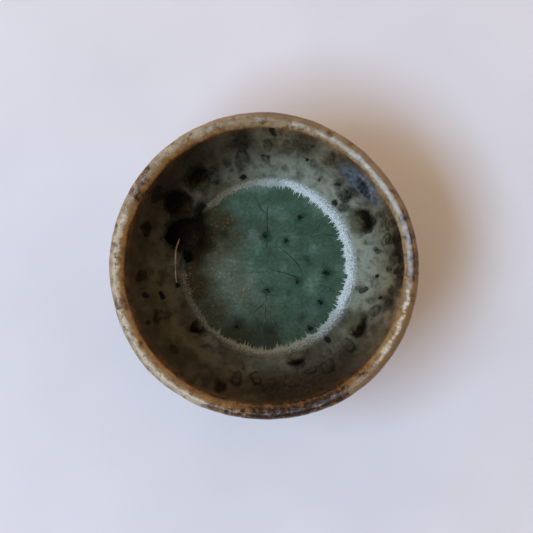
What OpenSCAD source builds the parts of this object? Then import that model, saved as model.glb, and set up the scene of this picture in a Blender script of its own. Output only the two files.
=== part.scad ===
// Thrown stoneware dipping-sauce cup with a natural ash glaze.
// Millimetres, +Z up, origin at the centre of the foot ring's resting face.
//
// Every surface of revolution comes from two leaning wall lines, one lip arc and two
// rounded hips. A growth of 0 gives the bare clay, and a growth of the coat thickness
// gives the fired glaze surface, so clay, coats, pool and kiln marks share their faces.

/* [Rim and wall] */
// Outside diameter across the lip, over the glaze
rim_d = 80; // [70:0.5:100]
// Overall height, from the resting face to the top of the lip
cup_h = 60; // [50:0.5:80]
// Thickness of the rounded lip, over the glaze
lip_t = 4.2; // [3.2:0.1:6]
// Lean of the inside wall from upright, in degrees
inside_lean = 8; // [4:0.5:10]
// Lean of the outside wall from upright, in degrees
outside_lean = 7; // [4:0.5:9]

/* [Floor and hips] */
// Thickness of the clay floor in the middle
floor_t = 5.5; // [4:0.25:8]
// Height of the rounded corner between floor and wall, inside
inside_hip = 14.5; // [11:0.5:20]
// Height of the rounded corner between foot and wall, outside
outside_hip = 9; // [7:0.5:12]
// Squareness of both hips, from a plain ellipse upwards
hip_square = 2.7; // [2:0.1:3.4]

/* [Foot ring] */
// Outside diameter of the foot ring
foot_d = 56; // [46:0.5:60]
// Width of the foot ring
foot_w = 5.5; // [4:0.25:8]
// Depth of the trimmed hollow inside the foot ring
recess_h = 3.5; // [2.5:0.25:5]
// Chamfer on both edges of the resting face
foot_chamfer = 0.8; // [0.3:0.1:1.2]

/* [Glaze coats] */
// Thickness of the fired glaze
coat_t = 0.5; // [0.3:0.05:0.8]
// Depth of the separate coat that wraps the lip, from the top
lip_band = 3.8; // [3.2:0.1:6]
// Height of the outside glaze line above the resting face
glaze_line = 15; // [13:0.25:20]
// Number of glaze runs below the outside line
run_count = 13; // [7:1:17]
// Width of the widest run
run_w = 11; // [6:0.25:13]
// Drop of the longest run below the outside line
run_drop = 4.5; // [2:0.25:4.5]

/* [Glass pool] */
// Depth of the green glass in the middle of the floor
pool_depth = 4; // [2:0.1:5]
// Width of the ring of frost crystals round the pool
frost_w = 2.4; // [1.5:0.1:4]
// Thickness of the frost
frost_t = 0.25; // [0.15:0.05:0.5]
// Number of crystal needles that point to the middle
needle_count = 84; // [40:1:110]
// Length of the longest needle
needle_l = 1.3; // [0.6:0.1:2]

/* [Kiln marks] */
// Width of the largest clot of black slag on the wall
clot_w = 9; // [5:0.25:10]
// Height of the largest clot above the glaze
clot_t = 1.2; // [0.8:0.1:1.6]
// Diameter of the largest iron speck in the pool
speck_d = 2; // [1:0.1:2.6]
// Height of the largest speck above the glass
speck_t = 0.5; // [0.35:0.05:0.7]
// Thickness of the thread of ash glass beside the largest clot
thread_d = 0.7; // [0.4:0.05:1]

/* [Hidden] */
$fn = 256;

// Steps along each hip, the lip arc and each run's edge
hip_steps = 22;
lip_steps = 16;
run_steps = 10;

// Centre of the lip arc, and its radius in bare clay
lip_r = rim_d / 2 - lip_t / 2;
lip_z = cup_h - lip_t / 2;
lip_clay = lip_t / 2 - coat_t;
band_z = cup_h - lip_band;

// Heights of the clay floor inside, and of the centres of both hips
floor_z = recess_h + floor_t;
inside_z = floor_z + inside_hip;
outside_z = recess_h + outside_hip;

// Level of the glass, and the radius where it meets the glaze
pool_z = floor_z + coat_t + pool_depth;
frost_z = pool_z + frost_t;
pool_r = inside_r(pool_z, coat_t);

// Slag clots: [angle, share of the way from pool to lip band, share of clot_w]
CLOTS = [
    [163, 0.07, 1.00], [147, 0.19, 0.95], [26, 0.08, 0.80], [325, 0.09, 0.78],
    [288, 0.04, 0.50], [220, 0.03, 0.42], [128, 0.13, 0.60]
];
// A clot's smaller upper end: its share of the width, and how far up the wall it sits
clot_tail = 0.62;
clot_tail_up = 0.36;

// Iron specks: [angle, share of the pool's clear radius, share of speck_d]
SPECKS = [
    [94, 0.46, 0.90], [58, 0.45, 0.80], [57, 0.85, 0.85], [354, 0.83, 1.00],
    [333, 0.46, 0.70], [326, 0.90, 0.75], [305, 1.00, 0.70], [243, 0.95, 0.80],
    [269, 0.33, 0.60]
];

// Height above the glaze line where a run springs from, as a share of its drop
run_root = 0.15;

// The thread starts beside the largest clot and runs level round the hip
thread_from = 176;
thread_turn = 20;
thread_share = 0.02;

// Uneven runs and needles, the same at every build
run_luck = rands(0, 1, run_count, 11);
needle_luck = rands(0, 1, needle_count, 7);

// Straight wall lines, tangent to the lip arc, for a given growth over the clay
function inside_line(z, grow) =
    lip_r - (lip_clay + grow) * cos(inside_lean)
    - (lip_z + (lip_clay + grow) * sin(inside_lean) - z) * tan(inside_lean);
function outside_line(z, grow) =
    lip_r + (lip_clay + grow) * cos(outside_lean)
    - (lip_z - (lip_clay + grow) * sin(outside_lean) - z) * tan(outside_lean);

// Share of the wall's radius that a rounded hip leaves at a depth below its centre
function hip_share(depth) = pow(1 - pow(min(1, max(0, depth)), hip_square), 1 / hip_square);

// Radius of either surface at a height
function inside_r(z, grow) =
    inside_line(z, grow) * hip_share((inside_z - z) / (inside_hip - grow));
function outside_r(z, grow) =
    outside_line(z, grow) * hip_share((outside_z - z) / (outside_hip + grow));

// Height of the clay's underside at a radius, closing in on the leaning wall
function underside_z(r, z = outside_z, tries = 6) =
    tries == 0 ? z
    : underside_z(r, outside_z - outside_hip * hip_share(r / outside_line(z, 0)), tries - 1);

// Heights down a hip from its centre, crowded where the curve turns flat
function hip_heights(centre, depth) =
    [for (i = [0:hip_steps]) centre - depth * pow(sin(90 * i / hip_steps), 2 / hip_square)];

// Profiles from the lip band down to the axis, inside and outside
function inside_path(grow) = [
    [inside_line(band_z, grow), band_z],
    for (z = hip_heights(inside_z, inside_hip - grow)) [inside_r(z, grow), z]
];
function outside_path(grow) = [
    [outside_line(band_z, grow), band_z],
    for (z = hip_heights(outside_z, outside_hip + grow)) [outside_r(z, grow), z]
];

// Lip profile over the top, from the outside band to the inside band
function lip_path(grow) = [
    [outside_line(band_z, grow), band_z],
    for (i = [0:lip_steps])
        let (a = -outside_lean + (180 - inside_lean + outside_lean) * i / lip_steps)
            [lip_r + (lip_clay + grow) * cos(a), lip_z + (lip_clay + grow) * sin(a)],
    [inside_line(band_z, grow), band_z]
];

function reversed(path) = [for (i = [len(path) - 1:-1:0]) path[i]];

// A coat is the skin between two profiles of the same surface
module coat(outer, inner) {
    rotate_extrude() polygon(concat(outer, reversed(inner)));
}

// The hollow of the cup, up to the band of the lip and on past the mouth
module hollow() {
    rotate_extrude()
        polygon(concat(
            [[0, cup_h], [inside_line(cup_h, coat_t), cup_h]],
            inside_path(coat_t)
        ));
}

// Everything above a level, as wide as the cup
module above(z, height) {
    translate([0, 0, z]) cylinder(d = 2 * rim_d, h = height);
}

module clay_body() {
    foot_r = foot_d / 2;
    foot_inner = foot_r - foot_w;
    root = floor_t / 3;
    color("#6b4a33") union() {
        // The thrown wall and floor
        rotate_extrude()
            polygon(concat(
                reversed(outside_path(0)), lip_path(0), inside_path(0)
            ));
        // The trimmed foot ring, rooted in the floor
        rotate_extrude()
            polygon([
                [foot_inner + foot_chamfer, 0],
                [foot_r - foot_chamfer, 0],
                [foot_r, foot_chamfer],
                [foot_r, underside_z(foot_r) + root],
                [foot_inner, underside_z(foot_inner) + root],
                [foot_inner, foot_chamfer]
            ]);
    }
}

// One run of glaze, seen from outside: a tongue that springs from above the glaze line
module run(width, drop) {
    rise = run_root * drop;
    translate([foot_d / 2, 0, 0]) rotate([90, 0, 90])
        linear_extrude(height = rim_d)
            polygon([
                [width / 2, 2 * rise],
                [-width / 2, 2 * rise],
                for (i = [0:run_steps])
                    let (s = i / run_steps)
                        [width * (s - 0.5), rise - (drop + rise) * pow(sin(180 * s), 2)]
            ]);
}

module outer_glaze() {
    color("#8a7a5c") difference() {
        coat(outside_path(coat_t), outside_path(0));
        // Bare clay below the line, except behind the runs
        difference() {
            above(-cup_h, cup_h + glaze_line);
            for (i = [0:run_count - 1])
                rotate(360 * (i + 0.5 * run_luck[i]) / run_count)
                    translate([0, 0, glaze_line])
                        run(run_w * (0.6 + 0.4 * run_luck[run_count - 1 - i]),
                            run_drop * (0.35 + 0.65 * run_luck[i]));
        }
    }
}

module lip_glaze() {
    color("#b79a6a") coat(lip_path(coat_t), lip_path(0));
}

module inner_glaze() {
    color("#5b5644") coat(inside_path(coat_t), inside_path(0));
}

module glass_pool() {
    color("#3f6556") intersection() {
        hollow();
        above(0, pool_z);
    }
}

// Ring of frost on the edge of the glass, with needles growing inwards
module frost_ring() {
    inner_r = pool_r - frost_w;
    step = 360 / needle_count;
    color("#cfd3d0") intersection() {
        hollow();
        translate([0, 0, pool_z]) linear_extrude(height = frost_t) difference() {
            circle(r = pool_r + frost_w);
            polygon([
                for (i = [0:needle_count - 1])
                    for (tip = [0, 1])
                        let (
                            r = inner_r - tip * needle_l * (0.25 + 0.75 * needle_luck[i]),
                            a = step * (i + tip / 2)
                        )
                            r * [cos(a), sin(a)]
            ]);
        }
    }
}

// Ball sunk in a surface, so that a cap of this width and height stands above it
module bead(width, height) {
    r = (width * width / 4 + height * height) / (2 * height);
    translate([0, 0, height - r]) sphere(r = r);
}

// Carries its children to the glaze at an angle and height, with +Z off the wall and +X up it
module on_wall(angle, z) {
    reach = coat_t / 4;
    slope = atan2(inside_r(z + reach, coat_t) - inside_r(z - reach, coat_t), 2 * reach);
    rotate(angle) translate([inside_r(z, coat_t), 0, z]) rotate([0, slope - 90, 0]) children();
}

function wall_z(share) = frost_z + share * (band_z - frost_z);

module slag_clots() {
    color("#15130f") intersection() {
        hollow();
        above(frost_z, cup_h);
        for (clot = CLOTS) {
            width = clot_w * clot[2];
            height = clot_t * clot[2];
            on_wall(clot[0], wall_z(clot[1])) {
                bead(width, height);
                translate([clot_tail_up * width, 0, 0])
                    bead(clot_tail * width, height);
            }
        }
    }
}

module iron_specks() {
    clear_r = pool_r - frost_w - needle_l - speck_d / 2;
    color("#1d2420") intersection() {
        above(pool_z, cup_h);
        for (speck = SPECKS)
            rotate(speck[0])
                translate([clear_r * speck[1], 0, pool_z])
                    bead(speck_d * speck[2], speck_t * speck[2]);
    }
}

module ash_thread() {
    z = wall_z(thread_share);
    color("#a9783f") intersection() {
        hollow();
        above(frost_z, cup_h);
        rotate(thread_from)
            rotate_extrude(angle = thread_turn)
                translate([inside_r(z, coat_t), z]) circle(d = thread_d);
    }
}

clay_body();
outer_glaze();
lip_glaze();
inner_glaze();
glass_pool();
frost_ring();
slag_clots();
iron_specks();
ash_thread();
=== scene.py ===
# %% [markdown]
# # A thrown stoneware cup with a natural ash glaze
#
# The cup is a single pot: clay, three coats of glaze, a pool of green glass on its floor, and the
# marks that the kiln left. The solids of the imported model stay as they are. This lesson gives each
# of them a modelled piece with the unevenness of a hand-thrown pot, and then its own finish.
# Everything is in metres, with +Z up and the foot on the floor.

# %% Load the solids
import math
import random

import bpy
import numpy as np
from mathutils import Matrix, Vector


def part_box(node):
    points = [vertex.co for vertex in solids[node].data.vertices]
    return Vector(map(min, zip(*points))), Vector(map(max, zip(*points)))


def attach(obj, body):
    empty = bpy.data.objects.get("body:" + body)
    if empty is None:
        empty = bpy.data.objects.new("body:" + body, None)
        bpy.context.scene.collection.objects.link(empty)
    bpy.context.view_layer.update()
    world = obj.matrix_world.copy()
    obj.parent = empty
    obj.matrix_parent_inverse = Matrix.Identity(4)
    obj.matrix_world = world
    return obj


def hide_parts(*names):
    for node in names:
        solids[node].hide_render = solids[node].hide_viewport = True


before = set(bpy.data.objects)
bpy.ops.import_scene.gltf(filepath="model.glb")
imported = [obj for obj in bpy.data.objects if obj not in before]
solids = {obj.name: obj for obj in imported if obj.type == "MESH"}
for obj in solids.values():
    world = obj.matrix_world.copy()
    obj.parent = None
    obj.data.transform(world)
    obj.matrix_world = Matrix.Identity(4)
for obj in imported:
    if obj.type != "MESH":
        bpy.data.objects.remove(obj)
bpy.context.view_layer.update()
scene = bpy.context.scene
MM = 0.001
print("solids:", ", ".join(sorted(solids)))

# %% [markdown]
# ## The camera
#
# The photograph looks almost straight down into the cup. The camera comes first, because a pixel of
# the photograph is then a line of sight, and the point where that line meets a surface is the place
# of a mark. The lip's circle gives the scale. The floor of the cup shows a little to the right of the
# lip's centre, so the camera stands slightly to the right of the axis.

# %% Camera at the photograph's view
PHOTO_PX = 533
LIP_CENTRE_PX = (262.65, 266.2)
LIP_RADIUS_PX = 155.2
CAMERA_RISE = 500 * MM
CAMERA_ASIDE = (14.8 * MM, -2.1 * MM)

lip_low, lip_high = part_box("lip_glaze")
lip_top, lip_radius = lip_high.z, lip_high.x
pixel = lip_radius / LIP_RADIUS_PX
middle_px = (PHOTO_PX - 1) / 2
eye = Vector((*CAMERA_ASIDE, lip_top + CAMERA_RISE))
aim = Vector((middle_px - LIP_CENTRE_PX[0], LIP_CENTRE_PX[1] - middle_px, 0)) * pixel
aim.z = lip_top
ahead = (aim - eye).normalized()
right = ahead.cross(Vector((0, 1, 0))).normalized()
above = right.cross(ahead)
focal_px = (aim - eye).length / pixel

camera = bpy.data.objects.new("camera", bpy.data.cameras.new("camera"))
scene.collection.objects.link(camera)
scene.camera = camera
camera.matrix_world = Matrix.Translation(eye) @ Matrix((right, above, -ahead)).transposed().to_4x4()
camera.data.lens = camera.data.sensor_width * focal_px / PHOTO_PX
print(f"camera lens {camera.data.lens:.0f} mm, one pixel is {pixel / MM:.3f} mm at the lip")

# %% [markdown]
# ## Feeling the solids
#
# A potter copies a shape with a profile gauge. Here a straight probe does that: it starts at a
# point, moves in one direction and stops at the first surface that it meets. The same probe, sent
# from the camera through a pixel, says where on the cup a mark in the photograph lies.

# %% Probe and marks
# Direction from the axis in which outlines are felt
QUIET_TURN = math.radians(75)


def off_axis(place):
    return Vector((place.x, place.y)).length


def probe(start, towards, *pieces):
    """The first place, and the surface's direction there, that a probe meets on these pieces."""
    met = []
    for piece in pieces:
        found, place, direction, _ = piece.ray_cast(start, towards)
        if found:
            met.append(((place - start).length, place, direction))
    return min(met, key=lambda one: one[0])[1:] if met else (None, None)


def section(radius, height, outward, upward, name):
    """A probe in one upright half-plane of the cup, as (radius, height) of the place it meets."""
    across = Vector((math.cos(QUIET_TURN), math.sin(QUIET_TURN), 0))
    start = across * radius + Vector((0, 0, height))
    place = probe(start, (across * outward + Vector((0, 0, upward))).normalized(), solids[name])[0]
    return off_axis(place), place.z


def mark_at(pixel_place, *pieces):
    """The place on these pieces that a pixel of the photograph shows, and its direction."""
    aside, down = (one - middle_px for one in pixel_place)
    return probe(eye, (ahead + (right * aside - above * down) / focal_px).normalized(), *pieces)


def between(low, high, steps):
    """Even steps from low to high, both ends included."""
    return [low + (high - low) * step / steps for step in range(steps + 1)]


pool_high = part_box("glass_pool")[1]
pool_z, pool_r = pool_high.z, pool_high.x
band_z = lip_low.z
print(f"pool {2 * pool_r / MM:.1f} mm wide at a height of {pool_z / MM:.1f} mm")

# %% [markdown]
# ## Throwing a form
#
# Every main form here is a pot's wall, so it is made as on a wheel: one vertex is extruded along the
# outline, and Spin turns that outline round the axis. The seam is welded, and the faces are turned
# to point outwards before anything else is done to them.

# %% A potter's wheel
WHEEL_STEPS = 256
WELD = 0.002 * MM


def throw(name, outline):
    """Spins an outline of (radius, height) points round the upright axis."""
    bpy.ops.mesh.primitive_plane_add(size=MM)
    piece = bpy.context.object
    piece.name = piece.data.name = name
    bpy.ops.object.mode_set(mode="EDIT")
    bpy.context.tool_settings.mesh_select_mode = (True, False, False)
    bpy.ops.mesh.merge(type="CENTER")
    bpy.ops.transform.translate(value=(outline[0][0], 0, outline[0][1]))
    for (r_from, z_from), (r_to, z_to) in zip(outline, outline[1:]):
        step = (r_to - r_from, 0, z_to - z_from)
        bpy.ops.mesh.extrude_vertices_move(TRANSFORM_OT_translate={"value": step})
    bpy.ops.mesh.select_all(action="SELECT")
    bpy.ops.mesh.spin(steps=WHEEL_STEPS, angle=2 * math.pi, center=(0, 0, 0), axis=(0, 0, 1))
    bpy.ops.mesh.select_all(action="SELECT")
    bpy.ops.mesh.remove_doubles(threshold=WELD)
    bpy.ops.mesh.normals_make_consistent(inside=False)
    bpy.ops.object.mode_set(mode="OBJECT")
    bpy.ops.object.shade_smooth()
    print(f"{name}: {len(piece.data.polygons)} faces from {len(outline)} points")
    return piece


def pick(piece, test, faces=False):
    """Selects the vertices or faces whose place passes a test, and stays in edit mode."""
    bpy.ops.object.select_all(action="DESELECT")
    piece.select_set(True)
    bpy.context.view_layer.objects.active = piece
    bpy.ops.object.mode_set(mode="EDIT")
    bpy.context.tool_settings.mesh_select_mode = (not faces, False, faces)
    bpy.ops.mesh.select_all(action="DESELECT")
    bpy.ops.object.mode_set(mode="OBJECT")
    for one in piece.data.polygons if faces else piece.data.vertices:
        one.select = test(one.center if faces else one.co)
    bpy.ops.object.mode_set(mode="EDIT")


def apply_modifier(piece, kind, **settings):
    """Adds one modifier with its settings and applies it."""
    modifier = piece.modifiers.new(kind.lower(), kind)
    for setting, value in settings.items():
        setattr(modifier, setting, value)
    bpy.context.view_layer.objects.active = piece
    bpy.ops.object.modifier_apply(modifier=modifier.name)


def roughen(piece, size, depth, **settings):
    """Raises and lowers a surface in cloudy lumps of about this size."""
    texture = bpy.data.textures.new(piece.name + "_lumps", "CLOUDS")
    texture.noise_scale = size
    apply_modifier(piece, "DISPLACE", texture=texture, texture_coords="LOCAL", strength=depth,
                   mid_level=0.5, **settings)

# %% [markdown]
# ## The glaze skin
#
# The three coats meet without a step, so they are first made as one skin: up the outside, over the
# lip, down the inside and across the floor. The outline is felt from the solids. Throwing leaves
# faint rings in the outer wall, which are added here as a slow ripple of the radius. A wet leather
# wiped the lip before firing, so its crown is flatter than a half circle and slopes inwards.

# %% Outline of the skin
COAT = 0.5 * MM
# The outer coat is whole all round above this height
WHOLE_Z = 17 * MM
RUN_RING_GAP = 1 * MM
RING_PITCH = 7.3 * MM
RING_DEPTH = 0.11 * MM
HIP_TOP = 25 * MM
HIP_VISIBLE_DIP = math.radians(31)
LIP_FELT_BELOW = 2 * MM
LIP_WIPE = 0.2 * MM
LIP_WIPE_CURVE = 5.5 * MM
LIP_CREST_OUT = 0.9 * MM
BAND_GAP = 0.1 * MM
FAR = 100 * MM
OUTSIDE_RINGS, LIP_RINGS, INSIDE_RINGS, HIP_RINGS, FLOOR_RINGS = 24, 20, 20, 14, 6
# Share of the way down to the coat's edge, and the coat's thickness there, from the edge upwards
RUN_RINGS = ((1.0, 0.02), (0.96, 0.75), (0.86, 1.35), (0.66, 1.30), (0.36, 1.12))


def ripple(height):
    """Throwing rings, as a change of radius at a height: two waves that drift out of step."""
    turn = 2 * math.pi * height / RING_PITCH
    return RING_DEPTH * (math.sin(turn) + 0.5 * math.sin(1.35 * turn + 1))


lip_inner = section(0, lip_top - LIP_FELT_BELOW, 1, 0, "lip_glaze")[0]
lip_half = (lip_radius - lip_inner) / 2
lip_mid = (lip_radius - lip_half, lip_top - lip_half)


def round_lip(low, high, steps, name):
    """Places over the lip, felt from all round its middle between two angles in degrees."""
    felt = []
    for angle in between(math.radians(low), math.radians(high), steps):
        out, up = math.cos(angle), math.sin(angle)
        felt.append(section(lip_mid[0] + FAR * out, lip_mid[1] + FAR * up, -out, -up, name))
    return felt


def wiped(outline):
    """An outline over the lip, eased into a flatter curve that slopes inwards."""
    flatter = []
    for radius, height in outline:
        wipe = LIP_WIPE + (radius - lip_mid[0] - LIP_CREST_OUT) ** 2 / (2 * LIP_WIPE_CURVE)
        flatter.append((radius, lip_top - ((lip_top - height) ** 4 + wipe ** 4) ** 0.25))
    return flatter


def down_inside(low, high, steps, name):
    """Places inside the cup, felt from a point on the axis between two dips below level."""
    felt = [section(0, HIP_TOP, math.cos(dip), -math.sin(dip), name)
            for dip in between(low, high, steps)]
    if high == math.pi / 2:
        felt[-1] = (0, felt[-1][1])
    return felt


run_rings = [(lip_radius, WHOLE_Z - RUN_RING_GAP * (len(RUN_RINGS) - i)) for i in range(len(RUN_RINGS))]
outside = [section(FAR, z, -1, 0, "outer_glaze")
           for z in between(WHOLE_Z, band_z - BAND_GAP, OUTSIDE_RINGS)]
outside = [(r + ripple(z), z) for r, z in outside]
over_lip = wiped(round_lip(2, 178, LIP_RINGS, "lip_glaze"))
inside = [section(0, z, 1, 0, "inner_glaze") for z in between(band_z - BAND_GAP, HIP_TOP, INSIDE_RINGS)]
hip = down_inside(0, HIP_VISIBLE_DIP, HIP_RINGS, "inner_glaze")[1:]
cup_floor = down_inside(HIP_VISIBLE_DIP, math.pi / 2, FLOOR_RINGS, "inner_glaze")[1:]
skin = throw("glaze_skin", run_rings + outside + over_lip + inside + hip + cup_floor)

# %% [markdown]
# Ash glaze runs. Where it stopped on the outside it left a wavy, thickened edge above the bare foot.
# The probe feels where the solid coat ends at each angle, and the lowest rings of the skin are
# drawn down to that edge: they swell just above it and then curl in to touch the clay.

# %% The runs above the foot
EDGE_STEP = 0.1 * MM
lowest_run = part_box("outer_glaze")[0].z


def coat_edge(away):
    """Height of the outer coat's lower edge in one direction from the axis."""
    height = WHOLE_Z
    while height > lowest_run:
        if probe(away * FAR + Vector((0, 0, height)), -away, solids["outer_glaze"])[0] is None:
            break
        height -= EDGE_STEP
    return height


def clay_radius(height):
    return section(FAR, height, -1, 0, "clay_body")[0]


edges = {}
for vertex in skin.data.vertices:
    ring = len(RUN_RINGS) - round((WHOLE_Z - vertex.co.z) / RUN_RING_GAP)
    if ring >= len(RUN_RINGS) or off_axis(vertex.co) < lip_inner:
        continue
    away = Vector((vertex.co.x, vertex.co.y, 0)).normalized()
    key = round(math.atan2(away.y, away.x), 4)
    if key not in edges:
        edges[key] = coat_edge(away)
    way_down, thickness = RUN_RINGS[ring]
    height = WHOLE_Z + (edges[key] - WHOLE_Z) * way_down
    vertex.co = away * (clay_radius(height) + COAT * thickness) + Vector((0, 0, height))
print(f"glaze edge between {min(edges.values()) / MM:.1f} and {max(edges.values()) / MM:.1f} mm")

# %% [markdown]
# A thrown lip is never quite round. The photograph shows it pushed in at the upper right and at the
# bottom and pulled out at the lower right, by about half a millimetre. Proportional editing does
# this as fingers would: a short stretch of lip moves, and the wall near it follows.

# %% Pull the lip out of round
# Angle in degrees, outward pull and upward pull in millimetres
LIP_PULLS = ((322, 0.50, 0.25), (2, 0.22, -0.1), (45, -0.45, -0.3), (222, 0.20, -0.2),
             (258, -0.50, 0.2), (120, 0.08, 0.3))
PULL_REACH = 24 * MM
FINGER = math.radians(5)


def pull_lip(piece):
    """Moves short stretches of the lip, and the wall below with them."""
    for degrees, outward, upward in LIP_PULLS:
        turn = math.radians(degrees)
        away = Vector((math.cos(turn), math.sin(turn), 0))
        pick(piece, lambda co: co.z > lip_mid[1] and away.angle(Vector((co.x, co.y, 0))) < FINGER)
        bpy.ops.transform.translate(
            value=(away * outward + Vector((0, 0, upward))) * MM,
            use_proportional_edit=True, proportional_edit_falloff="SMOOTH",
            proportional_size=PULL_REACH)
        bpy.ops.object.mode_set(mode="OBJECT")


pull_lip(skin)
print(f"lip pulled at {len(LIP_PULLS)} places")

# %% [markdown]
# Fired glaze is not an even film. Subdivide gives the skin enough faces, and Displace raises it in
# slow swells, in smaller lumps and in fine crinkles. The lumps and crinkles are strongest on the lip,
# where the glaze thinned and crawled, so a vertex group holds them back elsewhere.

# %% Swells, lumps and crinkles
SWELL_SIZE, SWELL_DEPTH = 14 * MM, 0.4 * MM
LUMP_SIZE, LUMP_DEPTH = 4.5 * MM, 0.34 * MM
CRINKLE_SIZE, CRINKLE_DEPTH = 1.7 * MM, 0.13 * MM
LIP_FADE_STEPS, LIP_FADE_STEP = 10, 1 * MM
WALL_LUMPS = 0.2

pick(skin, lambda co: True)
bpy.ops.mesh.subdivide(number_cuts=1, smoothness=1)
bpy.ops.object.mode_set(mode="OBJECT")
lumpy = skin.vertex_groups.new(name="lumpy")
below_lip = [min(LIP_FADE_STEPS, max(0, round((lip_top - vertex.co.z) / LIP_FADE_STEP)))
             for vertex in skin.data.vertices]
for step in range(LIP_FADE_STEPS + 1):
    weight = 1 - (1 - WALL_LUMPS) * step / LIP_FADE_STEPS
    lumpy.add([index for index, depth in enumerate(below_lip) if depth == step], weight, "REPLACE")
roughen(skin, SWELL_SIZE, SWELL_DEPTH)
roughen(skin, LUMP_SIZE, LUMP_DEPTH, vertex_group="lumpy")
roughen(skin, CRINKLE_SIZE, CRINKLE_DEPTH, vertex_group="lumpy")
print(f"skin now has {len(skin.data.polygons)} faces")

# %% [markdown]
# Now the skin is cut along two rings into the three coats, and Solidify gives each of them its
# thickness inwards, towards the clay. The rims that this makes are marked sharp. Smooth shading then
# stops there, and the seam between two coats doesn't show as a groove.

# %% Cut the skin into coats
RIM_ANGLE = math.radians(60)
# Inside, the lip's coat ends this far above the middle of the lip's round
LIP_TURN = 0.8 * MM
wall_mid_low = (clay_radius(HIP_TOP) + section(0, HIP_TOP, 1, 0, "inner_glaze")[0]) / 2


def in_cup(place):
    """True on the cup's side of the middle of the wall."""
    way_up = max(0, (place.z - HIP_TOP) / (lip_mid[1] - HIP_TOP))
    return off_axis(place) < wall_mid_low + (lip_mid[0] - wall_mid_low) * way_up


def cut_off(piece, name, test):
    """Separates the faces that pass a test into a piece of their own."""
    pick(piece, test, faces=True)
    bpy.ops.mesh.separate(type="SELECTED")
    bpy.ops.object.mode_set(mode="OBJECT")
    part = next(one for one in bpy.context.selected_objects if one != piece)
    part.name = part.data.name = name
    return part


lip_coat = cut_off(skin, "lip_glaze_coat",
                   lambda centre: centre.z > (lip_mid[1] + LIP_TURN if in_cup(centre) else band_z))
inner_coat = cut_off(skin, "inner_glaze_coat", in_cup)
outer_coat = skin
outer_coat.name = outer_coat.data.name = "outer_glaze_coat"
for coat in (outer_coat, lip_coat, inner_coat):
    apply_modifier(coat, "SOLIDIFY", thickness=COAT, offset=-1, use_even_offset=True)
    bpy.ops.object.mode_set(mode="EDIT")
    bpy.context.tool_settings.mesh_select_mode = (False, True, False)
    bpy.ops.mesh.select_all(action="DESELECT")
    bpy.ops.mesh.edges_select_sharp(sharpness=RIM_ANGLE)
    bpy.ops.mesh.mark_sharp()
    bpy.ops.object.mode_set(mode="OBJECT")
    print(f"{coat.name}: {len(coat.data.polygons)} faces")

# %% [markdown]
# ## The clay body
#
# Under the glaze is the pot itself. Its outline is felt from the solid: the underside, the foot, the
# outside, the lip and the inside. The foot was trimmed with a loop tool as the leather-hard
# pot turned, which leaves fine grooves round the hip and in the hollow of the foot.

# %% Throw and trim the clay
GROOVE_PITCH = 1.9 * MM
GROOVE_DEPTH = 0.07 * MM
FOOT_TOP = 6.6 * MM
FOOT_OUT_AT, FOOT_IN_AT = 2 * MM, 1.5 * MM
FOOT_WALL_TOP, FOOT_WALL_END = 2.6 * MM, 0.8 * MM
HOLLOW_GAP, EDGE_GAP = 0.3 * MM, 0.25 * MM
PLAIN_FROM, PLAIN_BELOW_LIP = 20 * MM, 3 * MM
FELT_ABOVE_HIP = math.radians(40)
clay_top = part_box("clay_body")[1].z


def trimmed(outline, across, along):
    """An outline with the trimming tool's grooves, as a shift of one coordinate along the other."""
    grooved = []
    for point in outline:
        point = list(point)
        point[across] += GROOVE_DEPTH * math.sin(2 * math.pi * point[along] / GROOVE_PITCH)
        grooved.append(tuple(point))
    return grooved


def from_below(low, high, steps):
    return [section(r, -MM, 0, 1, "clay_body") for r in between(low, high, steps)]


def from_outside(low, high, steps):
    return [section(FAR, z, -1, 0, "clay_body") for z in between(low, high, steps)]


foot_r = clay_radius(FOOT_OUT_AT)
foot_in = section(0, FOOT_IN_AT, 1, 0, "clay_body")[0]
foot_wall = [section(0, z, 1, 0, "clay_body") for z in between(FOOT_WALL_TOP, FOOT_WALL_END, 2)]
clay = throw("clay_pot", trimmed(from_below(0, foot_in - HOLLOW_GAP, 26), 1, 0) + foot_wall
             + from_below(foot_in + EDGE_GAP, foot_r - EDGE_GAP, 8)
             + from_outside(FOOT_WALL_END, FOOT_TOP - MM, 6)
             + trimmed(from_outside(FOOT_TOP, WHOLE_Z, 24), 0, 1)
             + from_outside(PLAIN_FROM, clay_top - PLAIN_BELOW_LIP, 10)
             + [(r, z - LIP_WIPE) for r, z in round_lip(10, 170, 8, "clay_body")]
             + down_inside(-FELT_ABOVE_HIP, math.pi / 2, 22, "clay_body"))
pull_lip(clay)

# %% [markdown]
# ## The glass pool
#
# Melted ash ran down the wall and set as a pool of green glass. It is a lens that fills the bottom of
# the cup: nearly flat on top, with a rim that creeps up the wall as any liquid does, and with the
# floor's own curve below. It is thrown from a closed outline.

# %% Pour the pool
CREEP = 0.12 * MM
CREEP_START = 1.5 * MM
CREEP_OUT = 0.15 * MM
SAG = 0.15 * MM
# The underside starts this much of a turn below the rim, so that the rim isn't felt twice
RIM_DIP = 0.02
POOL_LUMP_SIZE, POOL_LUMP = 9 * MM, 0.14 * MM


def pool_top(radius):
    """Height of the glass at a radius: sunk in the middle, creeping up at the edge."""
    near_edge = max(0.0, 1 - (pool_r + CREEP_OUT - radius) / CREEP_START)
    return pool_z - SAG * (1 - (radius / pool_r) ** 2) + CREEP * near_edge ** 3


pool_edge_dip = math.atan2(HIP_TOP - pool_z, pool_r) + RIM_DIP
pool = throw("glass_pool_lens", [(r, pool_top(r)) for r in between(0, pool_r + CREEP_OUT, 56)]
             + down_inside(pool_edge_dip, math.pi / 2, 10, "inner_glaze"))
roughen(pool, POOL_LUMP_SIZE, POOL_LUMP)
# The probe can feel the new pieces only after this update
bpy.context.view_layer.update()

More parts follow.
